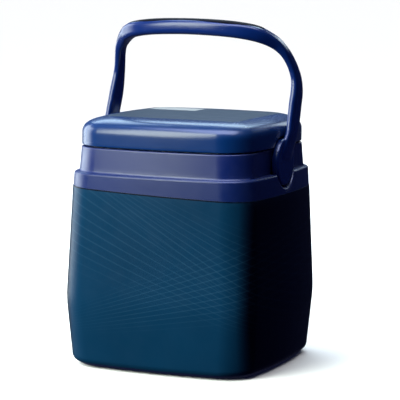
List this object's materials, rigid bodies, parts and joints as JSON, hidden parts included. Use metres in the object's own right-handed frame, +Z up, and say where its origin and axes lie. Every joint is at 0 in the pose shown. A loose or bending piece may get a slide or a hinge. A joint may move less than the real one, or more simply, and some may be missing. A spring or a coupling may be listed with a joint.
{
  "type": "cold and heat therapy unit",
  "caption": "Cooler-type cold therapy unit: insulated tub with a printed wrap, lift-off lid, swing handle, submerged pump and a rear two-port hose coupling with a release button.",
  "frame": {"origin": "middle of the unit's footprint, on the surface that the rubber feet stand on", "axes": "+Z up; the wide printed front faces -Y; the hose coupling is at the back, +Y; the handle pivots about a line along X"},
  "size_m": [0.2412, 0.2442, 0.3895],
  "materials": {
    "tub_blue": "moulded satin plastic, royal to navy blue",
    "collar_blue": "fine textured moulded plastic, blue",
    "lid_blue": "glossy moulded plastic, royal blue",
    "handle_blue": "semi-gloss moulded plastic, indigo blue",
    "grip_black": "soft-touch dark strip",
    "printed_wrap": "laminated printed film, deep teal blue with faint lighter lines",
    "lid_panel_print": "printed film, grey blue",
    "foam": "rigid insulation foam",
    "liner_white": "smooth white food-grade plastic",
    "steel": "stainless steel",
    "rubber_black": "matte black rubber",
    "natural_plastic": "natural acetal",
    "coupling_grey": "textured dark grey plastic",
    "button_grey": "textured mid grey plastic",
    "pump_grey": "dark moulded plastic",
    "filter": "open-cell filter foam",
    "copper_winding": "enamelled copper winding",
    "ceramic_white": "ground ceramic",
    "clear_tube": "translucent flexible tube"
  },
  "bodies": {
    "base": {"outer_tub": "tub_blue", "wrap_label": "printed_wrap", "insulation_foam": "foam", "inner_liner": "liner_white", "collar": "collar_blue", "collar_screws": "steel", "rubber_feet": "rubber_black", "pivot_pins": "steel", "pivot_washers": "natural_plastic", "hose_coupling": "coupling_grey", "port_barbs": "natural_plastic", "port_o_rings": "rubber_black", "coupling_screws": "steel", "button_spring": "steel", "dc_jack": "coupling_grey", "jack_nut": "steel", "pump_cable": "rubber_black", "strainer_cage": "pump_grey", "filter_foam": "filter", "volute_cover": "pump_grey", "pump_housing": "pump_grey", "pump_cap": "pump_grey", "motor_stator": "copper_winding", "pump_shaft": "ceramic_white", "pump_screws": "steel", "pump_bracket": "steel", "supply_tube": "clear_tube", "return_tube": "clear_tube", "tube_grommets": "rubber_black"},
    "handle": {"handle_bail": "handle_blue", "grip_pad": "grip_black"},
    "lid": {"lid_shell": "lid_blue", "lid_foam": "foam", "lid_inner_panel": "liner_white", "lid_gasket": "rubber_black", "lid_label": "lid_panel_print"},
    "button": {"release_button": "button_grey"},
    "rotor": {"impeller": "natural_plastic"}
  },
  "joints": [
    {"name": "handle_swing", "type": "hinge", "parent": "base", "child": "handle", "pos_m": [0, 0, 0.2315], "axis": [1, 0, 0], "range_deg": [-55, 110]},
    {"name": "lid_lift", "type": "slide", "parent": "base", "child": "lid", "axis": [0, 0, 1], "range_m": [0, 0.05]},
    {"name": "button_press", "type": "slide", "parent": "base", "child": "button", "axis": [0, 0, -1], "range_m": [0, 0.003], "stiffness_N_per_m": 400, "springref_m": -0.001, "deforming": ["button_spring"]},
    {"name": "impeller_spin", "type": "hinge", "parent": "base", "child": "rotor", "pos_m": [0, 0.044, 0.06], "axis": [0, 0, 1], "continuous": true}
  ]
}
